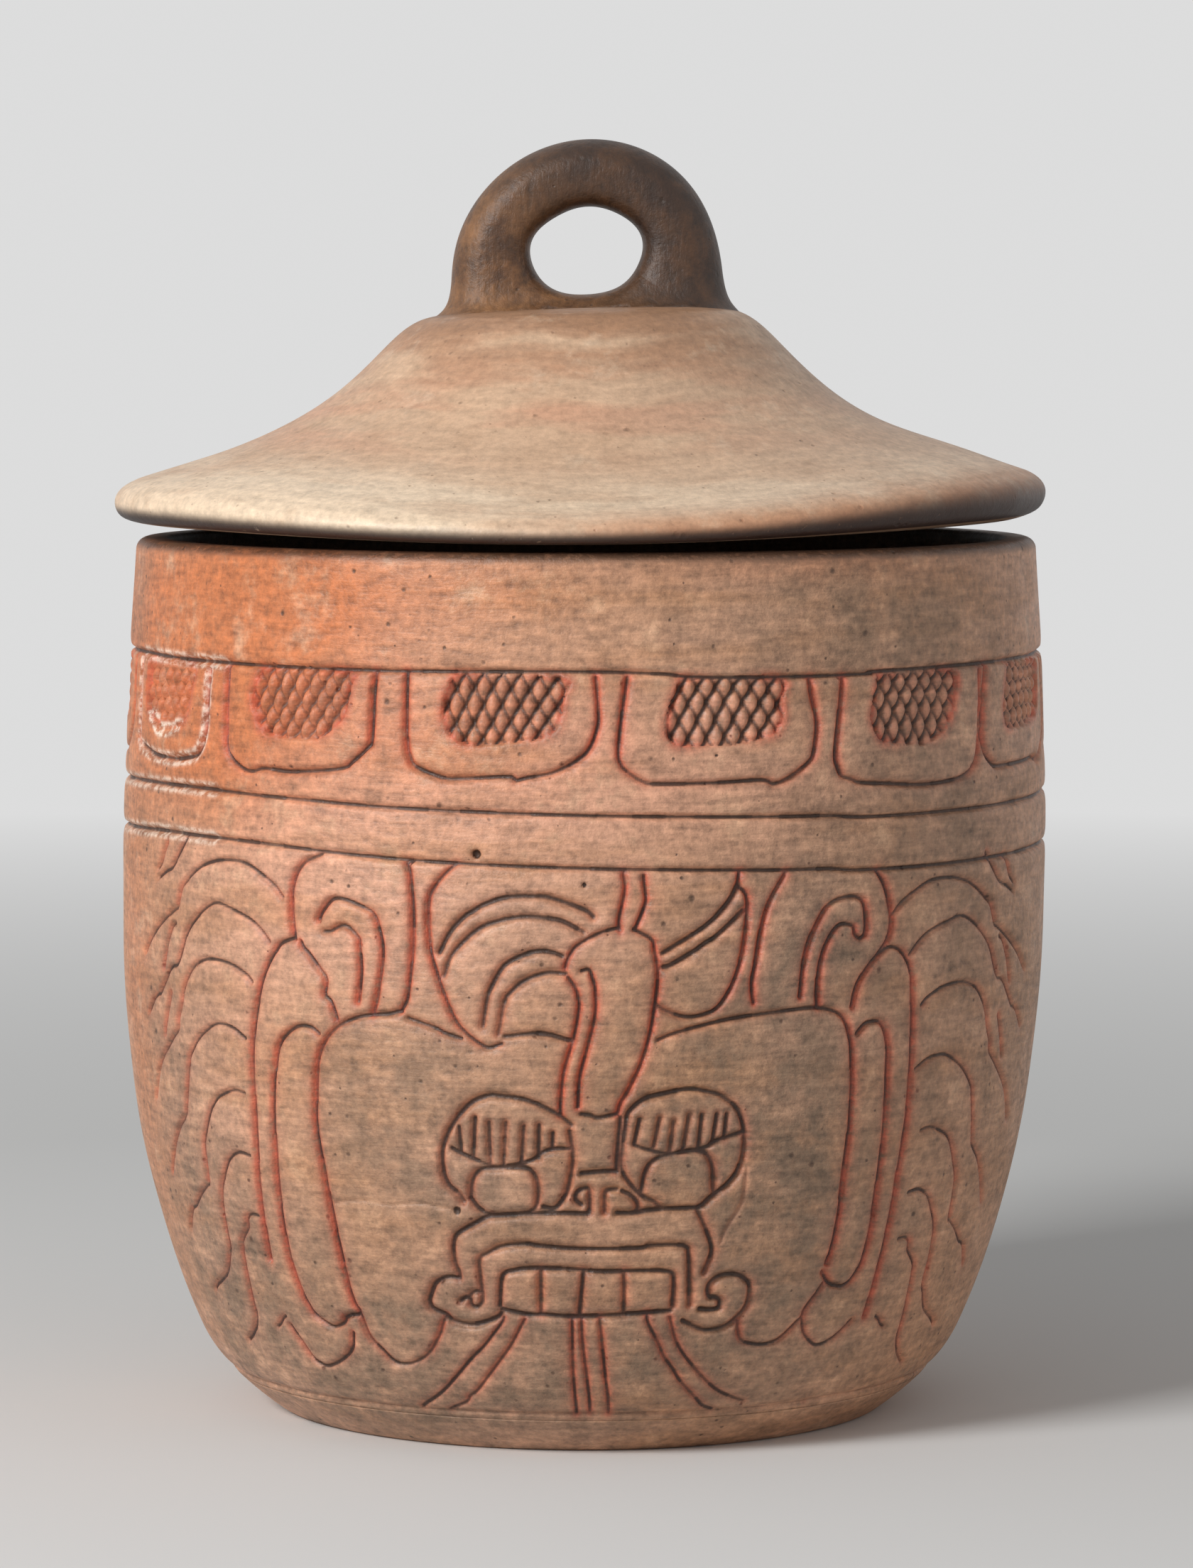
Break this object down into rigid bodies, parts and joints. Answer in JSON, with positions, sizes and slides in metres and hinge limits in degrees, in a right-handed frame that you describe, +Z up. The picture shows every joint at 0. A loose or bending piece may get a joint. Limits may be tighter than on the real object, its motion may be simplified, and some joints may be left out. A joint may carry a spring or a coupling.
{
  "type": "lidded vessel",
  "caption": "Barrel-shaped fired-clay jar with incised bands and panel, and a hollow conical lid with a pierced loop handle that lifts off.",
  "frame": {"origin": "middle of the face that the jar rests on", "axes": "+Z up along the jar's axis; the incised face looks towards -Y; the loop handle's hole runs along Y"},
  "size_m": [0.2014, 0.2014, 0.275],
  "materials": {
    "base_clay": "scraped, unslipped fired clay",
    "jar_clay": "burnished slip, incised, red pigment in the lines",
    "lid_clay": "burnished slip",
    "loop_clay": "burnished slip, smoke-darkened"
  },
  "bodies": {
    "jar": {"base_slab": "base_clay", "jar_wall": "jar_clay"},
    "lid": {"lid_shell": "lid_clay", "loop_handle": "loop_clay"}
  },
  "joints": [
    {"name": "lid_lift", "type": "slide", "parent": "jar", "child": "lid", "axis": [0, 0, 1], "range_m": [0, 0.12]}
  ]
}
